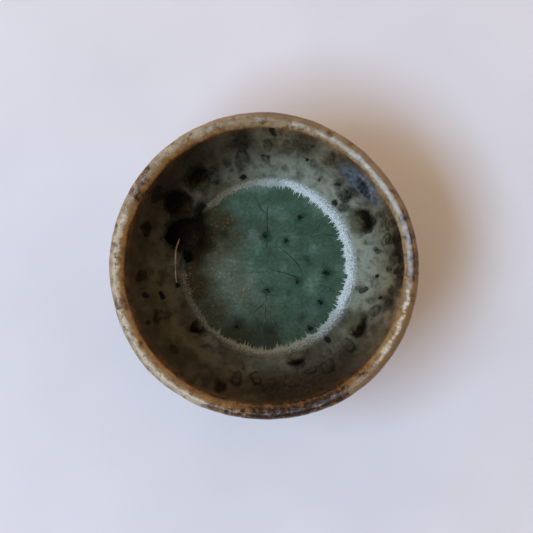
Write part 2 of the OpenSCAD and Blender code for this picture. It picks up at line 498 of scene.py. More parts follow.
# %% [markdown]
# ## Crackle in the glass
#
# The glass shrank more than the clay as it cooled, and split along a few long lines. Each line is
# read from the photograph as a handful of points and drawn on the pool as a thin curve, thinner at
# its ends. Converting the curve gives a mesh that lies half sunk in the surface.

# %% Lay the cracks
CRACKS_PX = (
    ((270, 190), (266, 210), (267, 227), (266, 249), (267, 262), (266, 272)),
    ((259, 278), (264, 286), (266, 295), (265, 302), (253, 312), (248, 318)),
    ((265, 302), (265, 314), (264, 321), (261, 331), (261, 344)),
    ((254, 193), (256, 201), (260, 209), (266, 213)),
    ((276, 245), (285, 251), (294, 260), (300, 267), (302, 275)),
    ((267, 268), (274, 270), (289, 274), (304, 280), (319, 284), (342, 292)),
    ((310, 236), (317, 232), (327, 234), (339, 237)),
    ((324, 216), (319, 225), (314, 233)),
    ((271, 319), (276, 327), (281, 339)),
)
CRACK_WIDTH, CRACK_SINK = 0.32 * MM, 0.02 * MM
LINE_END = 0.35


def lay_lines(name, lines, width, sink):
    """A mesh of thin round cords along lines of places, sunk into the surface below them."""
    curve = bpy.data.curves.new(name, "CURVE")
    curve.dimensions = "3D"
    curve.bevel_depth = width / 2
    curve.bevel_resolution = 2
    curve.use_fill_caps = True
    curve.resolution_u = 6
    for line in lines:
        spline = curve.splines.new("NURBS")
        spline.points.add(len(line) - 1)
        spline.use_endpoint_u = True
        spline.order_u = 3
        for point, (place, direction) in zip(spline.points, line):
            point.co = (*(place - direction * sink), 1)
        spline.points[0].radius = spline.points[-1].radius = LINE_END
    piece = bpy.data.objects.new(name, curve)
    scene.collection.objects.link(piece)
    bpy.ops.object.select_all(action="DESELECT")
    piece.select_set(True)
    bpy.context.view_layer.objects.active = piece
    bpy.ops.object.convert(target="MESH")
    bpy.ops.object.shade_smooth()
    return bpy.context.object


cracks = lay_lines("pool_cracks", [[mark_at(one, pool) for one in line] for line in CRACKS_PX],
                   CRACK_WIDTH, CRACK_SINK)
print(f"{len(CRACKS_PX)} cracks, {len(cracks.data.polygons)} faces")

# %% [markdown]
# ## The frost
#
# Where the pool thins out against the wall, pale crystals grew from the edge inwards. The ring starts
# as a circle on the wall, is extruded inwards over the edge of the pool, and ends in needles: every
# second vertex of the innermost ring is drawn towards the middle by its own length. The ring is
# widest on the right of the photograph, and slow waves make its edge uneven. A point attribute keeps
# each point's share of the way inwards, so that the finish can fade at the wall.

# %% Grow the frost
NEEDLES = 330
NEEDLE_LENGTH, NEEDLE_LUCK = 2.4 * MM, (1.2, 2.4)
FROST_THICK, FROST_LIFT = 0.1 * MM, 0.08 * MM
# On its wide side the ring spreads inwards by this, times a share that grows from ring to ring
FROST_SIDE, FROST_SPREAD = math.radians(-8), 0.7 * MM
SPREAD_FIRST, SPREAD_MORE = 0.6, 0.12
# Waves round the ring: how many, and where they start
FROST_WAVE, FROST_WAVES = 0.02 * MM, ((9, 0), (17, 1), (31, 2))
FROST_REACH = [reach * MM for reach in (1.6, 1.2, 0.8, 0.4, 0.0, -0.4, -0.8, -1.1)]
luck = random.Random(8)


def write_layer(piece, name, values):
    """Writes a point attribute, with one value for each vertex."""
    piece.data.attributes.new(name, "FLOAT", "POINT").data.foreach_set("value", values)


bpy.ops.mesh.primitive_circle_add(vertices=2 * NEEDLES, radius=pool_r + FROST_REACH[0])
frost = bpy.context.object
frost.name = frost.data.name = "frost_needles"
bpy.ops.object.mode_set(mode="EDIT")
for wide, narrow in zip(FROST_REACH, FROST_REACH[1:] + FROST_REACH[-1:]):
    bpy.ops.mesh.extrude_edges_move()
    smaller = (pool_r + narrow) / (pool_r + wide)
    bpy.ops.transform.resize(value=(smaller, smaller, 1), center_override=(0, 0, 0))
bpy.ops.object.mode_set(mode="OBJECT")
rings = [vertex.index // (2 * NEEDLES) for vertex in frost.data.vertices]
for vertex, ring in zip(frost.data.vertices, rings):
    turn = math.atan2(vertex.co.y, vertex.co.x)
    length = FROST_SPREAD * (SPREAD_FIRST + SPREAD_MORE * ring) * max(0, math.cos(turn - FROST_SIDE))
    length += FROST_WAVE * ring * sum(math.sin(count * turn + begin) for count, begin in FROST_WAVES)
    if vertex.index % 2 and ring == len(FROST_REACH):
        length += NEEDLE_LENGTH * luck.betavariate(*NEEDLE_LUCK)
    vertex.co *= 1 - length / off_axis(vertex.co)
    start = Vector((vertex.co.x, vertex.co.y, lip_top))
    vertex.co.z = probe(start, Vector((0, 0, -1)), pool, inner_coat)[0].z + FROST_LIFT
write_layer(frost, "inward", [ring / len(FROST_REACH) for ring in rings])
bpy.ops.object.mode_set(mode="EDIT")
bpy.ops.mesh.select_all(action="SELECT")
bpy.ops.mesh.normals_make_consistent(inside=False)
bpy.ops.object.mode_set(mode="OBJECT")
apply_modifier(frost, "SOLIDIFY", thickness=FROST_THICK, offset=0)
bpy.ops.object.shade_smooth()
print(f"frost: {NEEDLES} needles, {len(frost.data.polygons)} faces")

# %% [markdown]
# ## Slag on the wall
#
# Drops of black slag fell on the wall and slid towards the pool. One drop is modelled from a sphere,
# with one end drawn out to a blunt point, and its copies are turned and roughened, each by its own
# share of the noise. Every point of a copy is then laid on the wall where the photograph shows it,
# and raised a little off it. Attributes keep how far a point lies up the wall and how near to the
# drop's middle, because the slag is blackest on the side of the lip and thins out towards the pool.

# %% Model and lay the drops
# Pixel of the middle, width towards the lip and round the wall in pixels, share of olive
DROPS = (
    ((180, 235), 42, 38, 0.35), ((178, 204), 38, 30, 0.5), ((360, 221), 28, 32, 1.1),
    ((356, 324), 24, 30, 1.2), ((296, 359), 15, 21, 1.1), ((197, 327), 14, 15, 0.8),
    ((199, 178), 24, 26, 0.65), ((188, 258), 10, 12, 0.0),
)
DROP_RISE = 0.3 * MM
DROP_SINK = 0.1 * MM
# In radii of the drop: where its point starts, how far it is pulled, and how far off that is felt
POINT_FROM, POINT_PULL, POINT_REACH = 0.98, 0.3, 1.2
# Also in radii: the lumps' size and depth, and the step through the noise from drop to drop
DROP_LUMP_SIZE, DROP_LUMP, NOISE_STEP = 0.8, 0.85, 2.3


def lay_drop(piece, middle, along, across):
    """Lays a drop on the wall: its X points to the lip, its Y round the wall and its Z off it."""
    outward = (Vector(middle) - Vector(LIP_CENTRE_PX)).normalized()
    for vertex in piece.data.vertices:
        x, y, z = vertex.co
        spot = Vector(middle) + outward * x * along / 2 + outward.orthogonal() * y * across / 2
        place, direction = mark_at(spot, inner_coat, pool)
        vertex.co = place + direction * z * (DROP_RISE if z > 0 else DROP_SINK)


def copy_of(piece, place):
    """A copy with a mesh of its own, moved by a matrix."""
    twin = piece.copy()
    twin.data = piece.data.copy()
    scene.collection.objects.link(twin)
    twin.data.transform(place)
    return twin


def join(pieces, name, model):
    """One piece from many, without the model they were copied from."""
    bpy.data.objects.remove(model)
    bpy.ops.object.select_all(action="DESELECT")
    for piece in pieces:
        piece.select_set(True)
    bpy.context.view_layer.objects.active = pieces[0]
    bpy.ops.object.join()
    pieces[0].name = pieces[0].data.name = name
    print(f"{name}: {len(pieces[0].data.polygons)} faces")
    return pieces[0]


bpy.ops.mesh.primitive_uv_sphere_add(segments=40, ring_count=20, radius=1)
drop = bpy.context.object
pick(drop, lambda co: co.x > POINT_FROM)
bpy.ops.transform.translate(value=(POINT_PULL, 0, 0), use_proportional_edit=True,
                            proportional_edit_falloff="SHARP", proportional_size=POINT_REACH)
bpy.ops.object.mode_set(mode="OBJECT")
bpy.ops.object.shade_smooth()
write_layer(drop, "up_wall", [vertex.co.x for vertex in drop.data.vertices])
write_layer(drop, "middle", [1 - off_axis(vertex.co) for vertex in drop.data.vertices])

drops = []
for middle, along, across, olive in DROPS:
    shift = Vector((NOISE_STEP * len(drops), 0, 0))
    twin = copy_of(drop, Matrix.Translation(shift))
    roughen(twin, DROP_LUMP_SIZE, DROP_LUMP)
    twin.data.transform(Matrix.Translation(-shift))
    write_layer(twin, "olive", [olive] * len(twin.data.vertices))
    lay_drop(twin, middle, along, across)
    drops.append(twin)
slag = join(drops, "slag_drops", drop)

# %% [markdown]
# ## Iron blisters in the pool
#
# Specks of iron in the clay bled up through the glass and dried as low, smeared blots. One is made
# from an ico sphere. Its copies are flattened until they barely stand above the glass, drawn out and
# turned as the smear lies, and their outlines are pushed about sideways.

# %% Raise the blisters
# Pixel, width in pixels, share of that width across the smear, and its turn in degrees
BLISTERS = (
    ((265, 235), 7.5, 0.7, 70), ((285, 240), 6.5, 0.65, -30), ((300, 217), 6.0, 0.65, 20),
    ((326, 272), 9.0, 0.8, 15), ((297, 281), 6.5, 0.5, -45), ((320, 302), 6.5, 0.55, -50),
    ((310, 328), 5.5, 0.9, 0), ((237, 326), 6.5, 0.6, 60), ((267, 290), 5.0, 0.6, -60),
)
BLISTER_RISE = 0.04
BLISTER_RAGGED = 1.8 * MM
# Lumps that push an outline along X and along Y
BLISTER_LUMPS = {"X": 0.5 * MM, "Y": 0.6 * MM}

bpy.ops.mesh.primitive_ico_sphere_add(subdivisions=4, radius=0.5)
blister = bpy.context.object
bpy.ops.object.shade_smooth()
write_layer(blister, "middle", [1 - 2 * off_axis(vertex.co) for vertex in blister.data.vertices])
blisters = []
for pixel_place, width, narrow, degrees in BLISTERS:
    place = mark_at(pixel_place, pool)[0]
    size = Matrix.Diagonal((width * pixel, narrow * width * pixel, BLISTER_RISE * width * pixel, 1))
    turn = Matrix.Rotation(math.radians(degrees), 4, "Z")
    twin = copy_of(blister, Matrix.Translation(place) @ turn @ size)
    for direction, lump in BLISTER_LUMPS.items():
        roughen(twin, lump, BLISTER_RAGGED, direction=direction)
    blisters.append(twin)
specks = join(blisters, "iron_blisters", blister)

# %% [markdown]
# ## The ash thread
#
# One thread of tan ash glass lies along the hip, from the largest drop down and round. It is drawn as
# the cracks are, but thicker, and lies on the coat.

# %% Lay the thread
THREAD_PX = ((179, 238), (177, 243), (175, 250), (175, 258), (175, 266), (175, 274), (176, 282))
THREAD_WIDTH, THREAD_SINK = 0.6 * MM, 0.05 * MM
thread = lay_lines("ash_glass_thread", [[mark_at(one, inner_coat, slag) for one in THREAD_PX]],
                   THREAD_WIDTH, THREAD_SINK)
print(f"thread of {len(thread.data.polygons)} faces")

# %% [markdown]
# ## Painting the kiln marks
#
# The wall is freckled with spots and blots that have no height of their own. They are painted into the
# pieces as point attributes, as through a stencil held over the photograph: each mark is a pixel's
# column and row, a width in pixels, a strength and, for a ring, how hollow it is. A ring is a
# crescent, open to the pool, as where a bubble burst and ran. Two waves push the outlines about, so
# that no mark is a true circle. The wall is steep, so a mark that looks round from above runs down it
# as a drip.

# %% A stencil and a brush
HOLE_SHARE, HOLE_SHIFT, HOLE_DEPTH = 0.72, 0.16, 0.7
WOBBLE = 1.4
SOFT, BRUSHED, CRISP = 1.0, 0.8, 0.4


def through_stencil(piece):
    """The photograph's column and row of each point of a piece."""
    points = np.empty(3 * len(piece.data.vertices), np.float32)
    piece.data.vertices.foreach_get("co", points)
    away = points.reshape(-1, 3) - np.array(eye, np.float32)
    aside, up, depth = (away @ np.array(axis, np.float32) for axis in (right, above, ahead))
    return middle_px + focal_px * aside / depth, middle_px - focal_px * up / depth


def paint(piece, name, marks, soft=SOFT):
    """Writes a point attribute that is strongest in each mark and fades over its edge."""
    x, y = through_stencil(piece)
    pixels = np.stack([x + WOBBLE * np.sin(0.37 * y + 2 * np.sin(0.13 * x)),
                       y + WOBBLE * np.sin(0.33 * x + 2 * np.sin(0.15 * y))], axis=1)
    amount = np.zeros(len(pixels), np.float32)
    for column, row, width, strength, *hollow in marks:
        middle = np.array((column, row))
        away = np.linalg.norm(pixels - middle, axis=1) / (width / 2)
        blot = np.clip((1 - away) / soft + 0.5, 0, 1)
        if hollow:
            outward = middle - LIP_CENTRE_PX
            hole_middle = middle - outward / np.linalg.norm(outward) * HOLE_SHIFT * width / 2
            hole_away = np.linalg.norm(pixels - hole_middle, axis=1) / (width / 2)
            hole = HOLE_DEPTH * hollow[0] * np.clip((HOLE_SHARE - hole_away) / soft + 0.5, 0, 1)
            blot = np.clip(blot - hole, 0, 1)
        amount = np.maximum(amount, strength * blot)
    write_layer(piece, name, amount)
    print(f"{piece.name}: {len(marks)} marks of {name} on {np.count_nonzero(amount)} points")

# %% Paint soot, painted shade, burst bubbles and blue ash on the inner coat
# Column and row, width in pixels, strength
# Most marks are soot; the wide, faint marks at the lower right of the wall, such as (312, 372) and (346,
# 316), are painted shade
SOOT_AND_SHADE = (
    (272, 131, 9, 0.7), (306, 158, 4, 0.9), (320, 180, 3, 0.9), (243, 177, 6, 1.0), (240, 166, 12, 0.5),
    (228, 163, 10, 0.5), (160, 188, 8, 0.8), (146, 226, 10, 0.9), (145, 234, 8, 0.8),
    (146, 294, 6, 0.8), (161, 295, 6, 0.9), (148, 322, 8, 0.6), (177, 285, 6, 1.0), (220, 385, 13, 0.8),
    (326, 340, 6, 1.0), (381, 298, 5, 0.8), (376, 275, 5, 0.9), (333, 204, 8, 0.75), (339, 220, 4, 0.9),
    (358, 181, 6, 0.55), (361, 185, 7, 0.6), (364, 189, 7, 0.62), (366, 193, 6, 0.6),
    (369, 197, 5, 0.5), (345, 196, 16, 0.7), (380, 215, 12, 0.5), (390, 240, 12, 0.5),
    (388, 211, 14, 0.5), (394, 221, 15, 0.6), (397, 231, 16, 0.65), (399, 241, 16, 0.65),
    (400, 251, 16, 0.65), (402, 261, 15, 0.65), (401, 271, 16, 0.7), (399, 281, 15, 0.65),
    (394, 291, 14, 0.5), (388, 302, 12, 0.5), (178, 204, 32, 0.5), (193, 228, 40, 0.95),
    (205, 218, 30, 0.95), (176, 240, 32, 0.5), (212, 176, 24, 0.5), (187, 259, 13, 1.0),
    (197, 327, 15, 0.9), (361, 331, 16, 0.5), (299, 362, 14, 0.6), (368, 219, 18, 0.7),
    (338, 184, 13, 0.5), (352, 192, 13, 0.6), (344, 207, 14, 0.6), (152, 170, 30, 0.5),
    (185, 148, 34, 0.45), (300, 395, 40, 0.4), (312, 372, 60, 0.4), (334, 350, 46, 0.35),
    (276, 386, 50, 0.4), (305, 140, 30, 0.5), (240, 140, 26, 0.5), (330, 160, 16, 0.5),
    (378, 250, 8, 0.5), (388, 268, 9, 0.5), (386, 222, 18, 0.5), (396, 262, 16, 0.4),
    (382, 330, 20, 0.25), (346, 316, 18, 0.45), (163, 188, 46, 0.4), (190, 158, 40, 0.4),
)
# The same, and how hollow
RINGS = (
    (242, 155, 15, 0.7, 0.6), (266, 158, 10, 0.8, 0.8), (268, 145, 11, 0.6, 0.8),
    (289, 147, 15, 0.5, 0.3), (312, 163, 9, 0.5, 0.4), (156, 195, 14, 0.9, 0.2),
    (142, 275, 13, 0.9, 0.5), (159, 315, 14, 0.7, 0.6), (174, 350, 11, 0.6, 0.2),
    (236, 378, 14, 0.7, 0.6), (255, 378, 13, 0.8, 0.7), (288, 382, 13, 0.6, 0.6),
    (310, 369, 12, 0.8, 0.7), (328, 366, 16, 0.8, 0.6), (348, 345, 14, 0.8, 0.7),
    (374, 310, 12, 0.6, 0.5), (363, 289, 8, 0.8, 0.4), (384, 228, 10, 0.7, 0.7),
    (386, 239, 12, 0.8, 0.8), (197, 177, 31, 0.7, 0.4),
)
BLUE_ASH = (
    (345, 170, 14, 0.8), (352, 176, 17, 1.0), (360, 183, 18, 1.0), (367, 191, 17, 1.0),
    (373, 200, 13, 0.8),
)
paint(inner_coat, "soot_and_shade", SOOT_AND_SHADE, BRUSHED)
paint(inner_coat, "rings", RINGS, CRISP)
paint(inner_coat, "blue_ash", BLUE_ASH)

# %% Paint smoke, stains and haze on the pool
# A stain round each blister: its width in widths of the blister, and its strength
STAIN_WIDTH, STAIN_STRENGTH = 1.5, 0.55
SMOKE = (
    (186, 234, 50, 1.3), (193, 221, 31, 1.25), (194, 250, 28, 0.9),
)
# Marks that make the pool darker on its near side, towards -Y; they go into the smoke layer, but they are
# not smoke
LOWER_POOL_DARKENING = (
    (262, 340, 56, 0.65), (238, 330, 40, 0.55), (288, 328, 44, 0.5), (314, 318, 56, 0.5),
)
STAINS = tuple((*spot, STAIN_WIDTH * width, STAIN_STRENGTH) for spot, width, _, _ in BLISTERS) + (
    (307, 261, 8, 0.5), (289, 293, 7, 0.4), (270, 330, 12, 0.4), (243, 233, 9, 0.4),
    (301, 317, 10, 0.4), (222, 232, 12, 0.6),
)
HAZE = (
    (222, 264, 44, 0.9), (234, 288, 40, 0.85), (236, 240, 34, 0.5), (248, 306, 26, 0.4),
    (214, 292, 36, 0.6),
)
BROWN = (
    (186, 258, 50, 1.0), (192, 286, 44, 1.0), (203, 240, 44, 1.0), (213, 314, 40, 0.8),
    (220, 224, 38, 0.9), (236, 336, 44, 0.8), (206, 208, 40, 0.9), (226, 238, 36, 0.65),
    (266, 334, 44, 0.6), (296, 330, 36, 0.3), (262, 226, 30, 0.3), (262, 306, 44, 0.4),
)
paint(pool, "haze", HAZE)
paint(pool, "brown", BROWN)
# The pool's smoke layer also carries the darkening of its near side
paint(pool, "smoke", SMOKE + LOWER_POOL_DARKENING)
paint(pool, "stain", STAINS)
paint(frost, "smoke", SMOKE)

# %% Paint scorching, cream ash and painted highlight on the lip
SCORCH = (
    (213, 408, 14, 0.8), (228, 411, 16, 0.8), (243, 413, 16, 0.9), (260, 414, 28, 1.3),
    (277, 412, 28, 1.3), (293, 409, 28, 1.3), (309, 403, 28, 1.35), (324, 397, 26, 1.3),
    (339, 388, 22, 1.2), (361, 369, 16, 0.8), (416, 256, 16, 1.0), (415, 274, 16, 0.9),
    (416, 265, 14, 1.0), (251, 416, 14, 1.0), (285, 413, 14, 1.0), (412, 236, 16, 1.1),
    (406, 216, 15, 1.0), (396, 192, 11, 1.0), (140, 196, 13, 1.2), (193, 389, 10, 0.9),
    (338, 397, 16, 1.2), (350, 143, 7, 0.8), (328, 133, 6, 0.9), (146, 167, 9, 1.2),
    (140, 178, 14, 0.9), (133, 190, 12, 0.6), (122, 303, 14, 0.9), (119, 260, 9, 0.5),
    (113, 247, 8, 0.6), (141, 341, 7, 0.7), (262, 121, 7, 0.7), (222, 128, 10, 0.5), (412, 297, 8, 0.6),
    (285, 128, 6, 0.7), (172, 140, 10, 0.5), (115, 225, 9, 0.5),
)


def along_lip(first, last, reach, width, strength):
    """Marks that overlap along the lip between two angles in degrees, at a reach in pixels."""
    turns = between(math.radians(first), math.radians(last), round((last - first) / 2))
    return [(LIP_CENTRE_PX[0] + reach * math.cos(turn), LIP_CENTRE_PX[1] - reach * math.sin(turn),
             width, strength) for turn in turns]


# Cream ash on the lip. The band from 320 to 350 degrees is painted highlight, and the bands at the left
# are partly painted highlight
CREAM_AND_HIGHLIGHT = along_lip(160, 196, 148.5, 8, 1.0) + along_lip(196, 246, 150.5, 8, 1.05)
CREAM_AND_HIGHLIGHT += along_lip(320, 350, 148, 5, 1.1) + [
    (165, 150, 20, 0.6), (195, 131, 20, 0.5), (300, 124, 20, 0.4), (240, 117, 18, 0.4),
]
for coat in (lip_coat, outer_coat):
    paint(coat, "scorch", SCORCH)
    paint(coat, "cream_and_highlight", CREAM_AND_HIGHLIGHT)

# %% [markdown]
# ## Finishes
#
# Each finish is a Principled shader whose colour, roughness and bump come from noise. One function
# turns an sRGB colour into the linear values that Blender wants, one fills a node's sockets, and one
# adds a node. A socket is given by its name, or by its number where that is shorter: 0, 6 and 7 are
# the share and the two colours of a Mix, and 0 to 4 are the value of a Map Range, the range it comes
# from and the range it goes to.

# %% Node helpers


def linear(colour):
    """Linear RGBA of an sRGB hex colour."""
    shares = [int(colour[i:i + 2], 16) / 255 for i in (1, 3, 5)]
    return (*[c / 12.92 if c <= 0.04045 else ((c + 0.055) / 1.055) ** 2.4 for c in shares], 1)


def fill(tree, node, sockets):
    """Fills sockets by a link from a node's first output in use, from an output, or by a value."""
    for socket, value in sockets.items():
        if isinstance(value, bpy.types.Node):
            value = next(output for output in value.outputs if output.enabled)
        if isinstance(value, bpy.types.NodeSocket):
            tree.links.new(value, node.inputs[socket])
        else:
            node.inputs[socket].default_value = linear(value) if isinstance(value, str) else value


def add(tree, kind, sockets=None, stops=(), **options):
    """Adds a node with its options, its ramp's stops and its sockets."""
    node = tree.nodes.new("ShaderNode" + kind)
    for option, value in options.items():
        setattr(node, option, value)
    for index, (position, colour) in enumerate(stops):
        elements = node.color_ramp.elements
        element = elements[index] if index < len(elements) else elements.new(1)
        element.position, element.color = position, linear(colour)
    fill(tree, node, sockets or {})
    return node


def grain(size):
    """Noise scale for a pattern whose lumps are this many millimetres wide."""
    return 1 / (size * MM)


def finish_of(name):
    """A new material, its node tree, its shader and the place on the piece."""
    material = bpy.data.materials.new(name)
    material.use_nodes = True
    tree = material.node_tree
    shader = next(node for node in tree.nodes if node.type == "BSDF_PRINCIPLED")
    return material, tree, shader, add(tree, "TexCoord").outputs["Object"]


def dress(piece, material, node_name=None):
    """Gives a piece its finish and lets it stand for its solid."""
    piece.data.materials.clear()
    piece.data.materials.append(material)
    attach(piece, "root")
    if node_name:
        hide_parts(node_name)
    print(f"{piece.name}: {material.name}")

# %% [markdown]
# A few steps come back in most finishes. Noise sways a value, so that no edge is even. A finish turns
# from one side of the cup to the other, because one side took more fire. And colours are laid over
# each other in turn, as glazes are, each coming in as some value rises from low to high. Ash glaze
# also runs down a wall in streaks. For those, noise is read at a place whose height is divided by a
# stretch, so that its lumps are drawn out down the wall by that factor.

# %% Sway, sides and coats of colour
WALL_STRETCH, OUTER_STRETCH = 5, 9
# The angle in degrees of the side that took less fire and is painted paler where the lamp lights the
# inside, and where the turn to it starts and ends
COOL_AND_LIT_SIDE = (34, 0.05, 0.85)
# The glaze at the pool's edge, on that side and on the other, which is darker partly by painted shade
COOL_AND_LIT_FILM, FIRE_AND_SHADE_FILM = "#9f9c85", "#635a45"


def swayed(tree, value, noise, amount):
    """A value pushed up and down by a noise."""
    push = add(tree, "Math", {0: noise, 1: amount, 2: -amount / 2}, operation="MULTIPLY_ADD")
    return add(tree, "Math", {0: value, 1: push}, operation="ADD")


def reach_of(tree, place):
    """Distance of a place from the axis."""
    flat = add(tree, "VectorMath", {0: place, 1: (1, 1, 0)}, operation="MULTIPLY")
    return add(tree, "VectorMath", {0: flat}, operation="LENGTH").outputs["Value"]


def facing(tree, place, degrees, low, high):
    """From 0 to 1 as the direction from the axis turns towards an angle."""
    turn = math.radians(degrees)
    flat = add(tree, "VectorMath", {0: place, 1: (1, 1, 0)}, operation="MULTIPLY")
    away = add(tree, "VectorMath", {0: flat}, operation="NORMALIZE")
    towards = add(tree, "VectorMath", {0: away, 1: (math.cos(turn), math.sin(turn), 0)},
                  operation="DOT_PRODUCT")
    return add(tree, "MapRange", {0: towards, 1: low, 2: high}, interpolation_type="SMOOTHSTEP")


def laid(tree, colour, *coats):
    """Colours laid over a first one, each up to its cover as a value goes from low to high."""
    for value, low, high, most, over in coats:
        cover = add(tree, "MapRange", {0: value, 1: low, 2: high, 4: most})
        colour = add(tree, "Mix", {0: cover, 6: colour, 7: over}, data_type="RGBA")
    return colour


def shaded(tree, colour, share, noise, low, dark, high):
    """A colour darkened by a share of a shade that clears to white as a noise goes from low to high."""
    shade = add(tree, "ValToRGB", {0: noise}, stops=((low, dark), (high, "#ffffff")))
    return add(tree, "Mix", {0: share, 6: colour, 7: shade}, data_type="RGBA", blend_type="MULTIPLY")

# %% [markdown]
# ### Ash glaze inside
#
# A natural ash glaze, melted to a glossy grey-olive film. On the right of the photograph it is pale on
# the hip, where it is thick, and brown below the lip, where it ran thin over iron-rich clay. The left
# took more fire and is brown all over; it is also painted darker there, as painted shade on the side away
# from the lamp.
# Soot darkens the marks, wide faint marks at the lower right are painted shade, and one streak of ash is
# blue.

# %% Inner ash glaze
inner_finish, tree, shader, place = finish_of("ash_glaze_grey_olive")
streaky = add(tree, "VectorMath", {0: place, 1: (1, 1, 1 / WALL_STRETCH)}, operation="MULTIPLY")
fine = add(tree, "TexNoise", {"Vector": streaky, "Scale": grain(0.9), "Detail": 5, "Roughness": 0.65})
broad = add(tree, "TexNoise", {"Vector": streaky, "Scale": grain(7), "Detail": 3})
blots = add(tree, "TexNoise", {"Vector": streaky, "Scale": grain(2.4), "Detail": 4, "Roughness": 0.6})
height = add(tree, "SeparateXYZ", {0: place}).outputs["Z"]
level = add(tree, "MapRange", {0: height, 1: pool_z, 2: band_z})
uneven = swayed(tree, swayed(tree, level, broad, 0.5), fine, 0.15)
cool_and_lit_side = add(tree, "ValToRGB", {0: uneven}, stops=(
    (0.0, COOL_AND_LIT_FILM), (0.15, "#a5a28a"), (0.45, "#a0997e"), (0.7, "#877c62"), (0.9, "#8c8168"),
    (0.97, "#7f6e50"), (1.0, "#8f7a58")))
fire_and_shade_side = add(tree, "ValToRGB", {0: uneven}, stops=(
    (0.0, FIRE_AND_SHADE_FILM), (0.14, "#867d69"), (0.32, "#6f6754"), (0.55, "#4f4637"), (0.86, "#483e31"),
    (0.96, "#403325"), (1.0, "#5c432a")))
# Painted shade: the side away from the lamp gets the darker ramp, partly for a browner glaze and partly
# for shade
both = laid(tree, fire_and_shade_side, (facing(tree, place, *COOL_AND_LIT_SIDE), 0, 1, 1, cool_and_lit_side))
mottled = shaded(tree, both, 0.8, blots, 0.32, "#77756f", 0.56)
smudges = add(tree, "Math", {0: add(tree, "MapRange", {0: broad, 1: 0.48, 2: 0.62}),
                             1: add(tree, "MapRange", {0: level, 1: 0.25, 2: 0.7, 4: 0.75})},
              operation="MULTIPLY")
soot_and_shade, rings, blue_ash = [add(tree, "Attribute", attribute_name=name).outputs["Fac"]
                         for name in ("soot_and_shade", "rings", "blue_ash")]
bluish = add(tree, "ValToRGB", {0: fine}, stops=((0.36, "#2f343d"), (0.5, "#616c7d"), (0.64, "#8b98aa")))
ragged = swayed(tree, swayed(tree, soot_and_shade, blots, 1.1), fine, 0.7)
ringed = swayed(tree, swayed(tree, rings, blots, 0.8), fine, 0.9)
# Soot, painted shade and rings darken the glaze to near black
soot_shade_and_rings = add(tree, "Math", {0: add(tree, "MapRange", {0: ragged, 1: 0.15, 2: 0.72, 4: 0.94}),
                           1: add(tree, "MapRange", {0: ringed, 1: 0.1, 2: 0.75, 4: 0.88})},
            operation="MAXIMUM")
colour = laid(tree, mottled, (smudges, 0, 1, 1, "#352c1f"),
              (swayed(tree, blue_ash, blots, 1.1), 0.1, 1, 0.9, bluish), (soot_shade_and_rings, 0, 1, 1, "#120e09"))
fill(tree, shader, {
    "Base Color": colour, "IOR": 1.52, "Specular IOR Level": 0.08,
    "Roughness": add(tree, "MapRange", {0: soot_shade_and_rings, 3: 0.45, 4: 0.95}),
    "Normal": add(tree, "Bump", {"Height": fine, "Strength": 0.15, "Distance": 0.1 * MM})})
dress(inner_coat, inner_finish, "inner_glaze")

# %% [markdown]
# ### Ash glaze on the lip
#
# On the lip the same glaze thinned to cream over tan, with an orange-brown edge inside where iron
# shows. Towards the upper right it melted to a smooth, glossier tan, with a pale band near its inner edge
# that is partly painted highlight; at the lower right it is golden, and at the lower left it is nearly
# satin. Cream ash, with bands of painted highlight, scorched mottles and iron freckles lie over it.
# They go on down the outside, so one function lays them over both coats.

# %% Lip glaze


def scorched(tree, place, base):
    """Cream ash with painted highlight, scorched mottles and iron freckles over a base colour, and the
    mottles' noise.
    """
    blots = add(tree, "TexNoise", {"Vector": place, "Scale": grain(1.3), "Detail": 7, "Roughness": 0.7})
    clouds = add(tree, "TexNoise", {"Vector": place, "Scale": grain(5), "Detail": 4})
    freckles = add(tree, "TexNoise", {"Vector": place, "Scale": grain(0.8), "Detail": 3})
    cream_and_highlight, scorch = [add(tree, "Attribute", attribute_name=name).outputs["Fac"]
                     for name in ("cream_and_highlight", "scorch")]
    # Cream ash, partly painted highlight along the lip
    creamy_and_highlight = swayed(tree, swayed(tree, cream_and_highlight, clouds, 0.7), blots, 1.2)
    hot = add(tree, "Math", {0: scorch, 1: 0.36, 2: 0.48}, operation="MULTIPLY_ADD")
    burnt = swayed(tree, hot, blots, 1.5)
    colour = laid(tree, base, (creamy_and_highlight, 0.3, 1.1, 0.8, "#c2b59d"), (blots, 0.46, 0.66, 0.7, "#655d4e"),
                  (burnt, 0.55, 0.72, 0.85, "#5f3f20"), (burnt, 0.74, 0.92, 0.95, "#22150a"),
                  (freckles, 0.68, 0.74, 0.8, "#2b2118"))
    return colour, blots


lip_finish, tree, shader, place = finish_of("ash_glaze_cream")
fine = add(tree, "TexNoise", {"Vector": place, "Scale": grain(1.0), "Detail": 6, "Roughness": 0.7})
wavy = add(tree, "TexNoise", {"Vector": place, "Scale": grain(5), "Detail": 3})
outward = add(tree, "MapRange", {0: reach_of(tree, place), 1: lip_inner, 2: lip_radius})
across = swayed(tree, swayed(tree, outward, fine, 0.35), wavy, 0.5)
by_reach = add(tree, "ValToRGB", {0: across}, stops=(
    (0.0, "#2e1f0f"), (0.1, "#523415"), (0.2, "#7f5221"), (0.34, "#84602f"), (0.48, "#86704a"),
    (0.68, "#93846a"), (0.85, "#9c8d77"), (1.0, "#938168")))
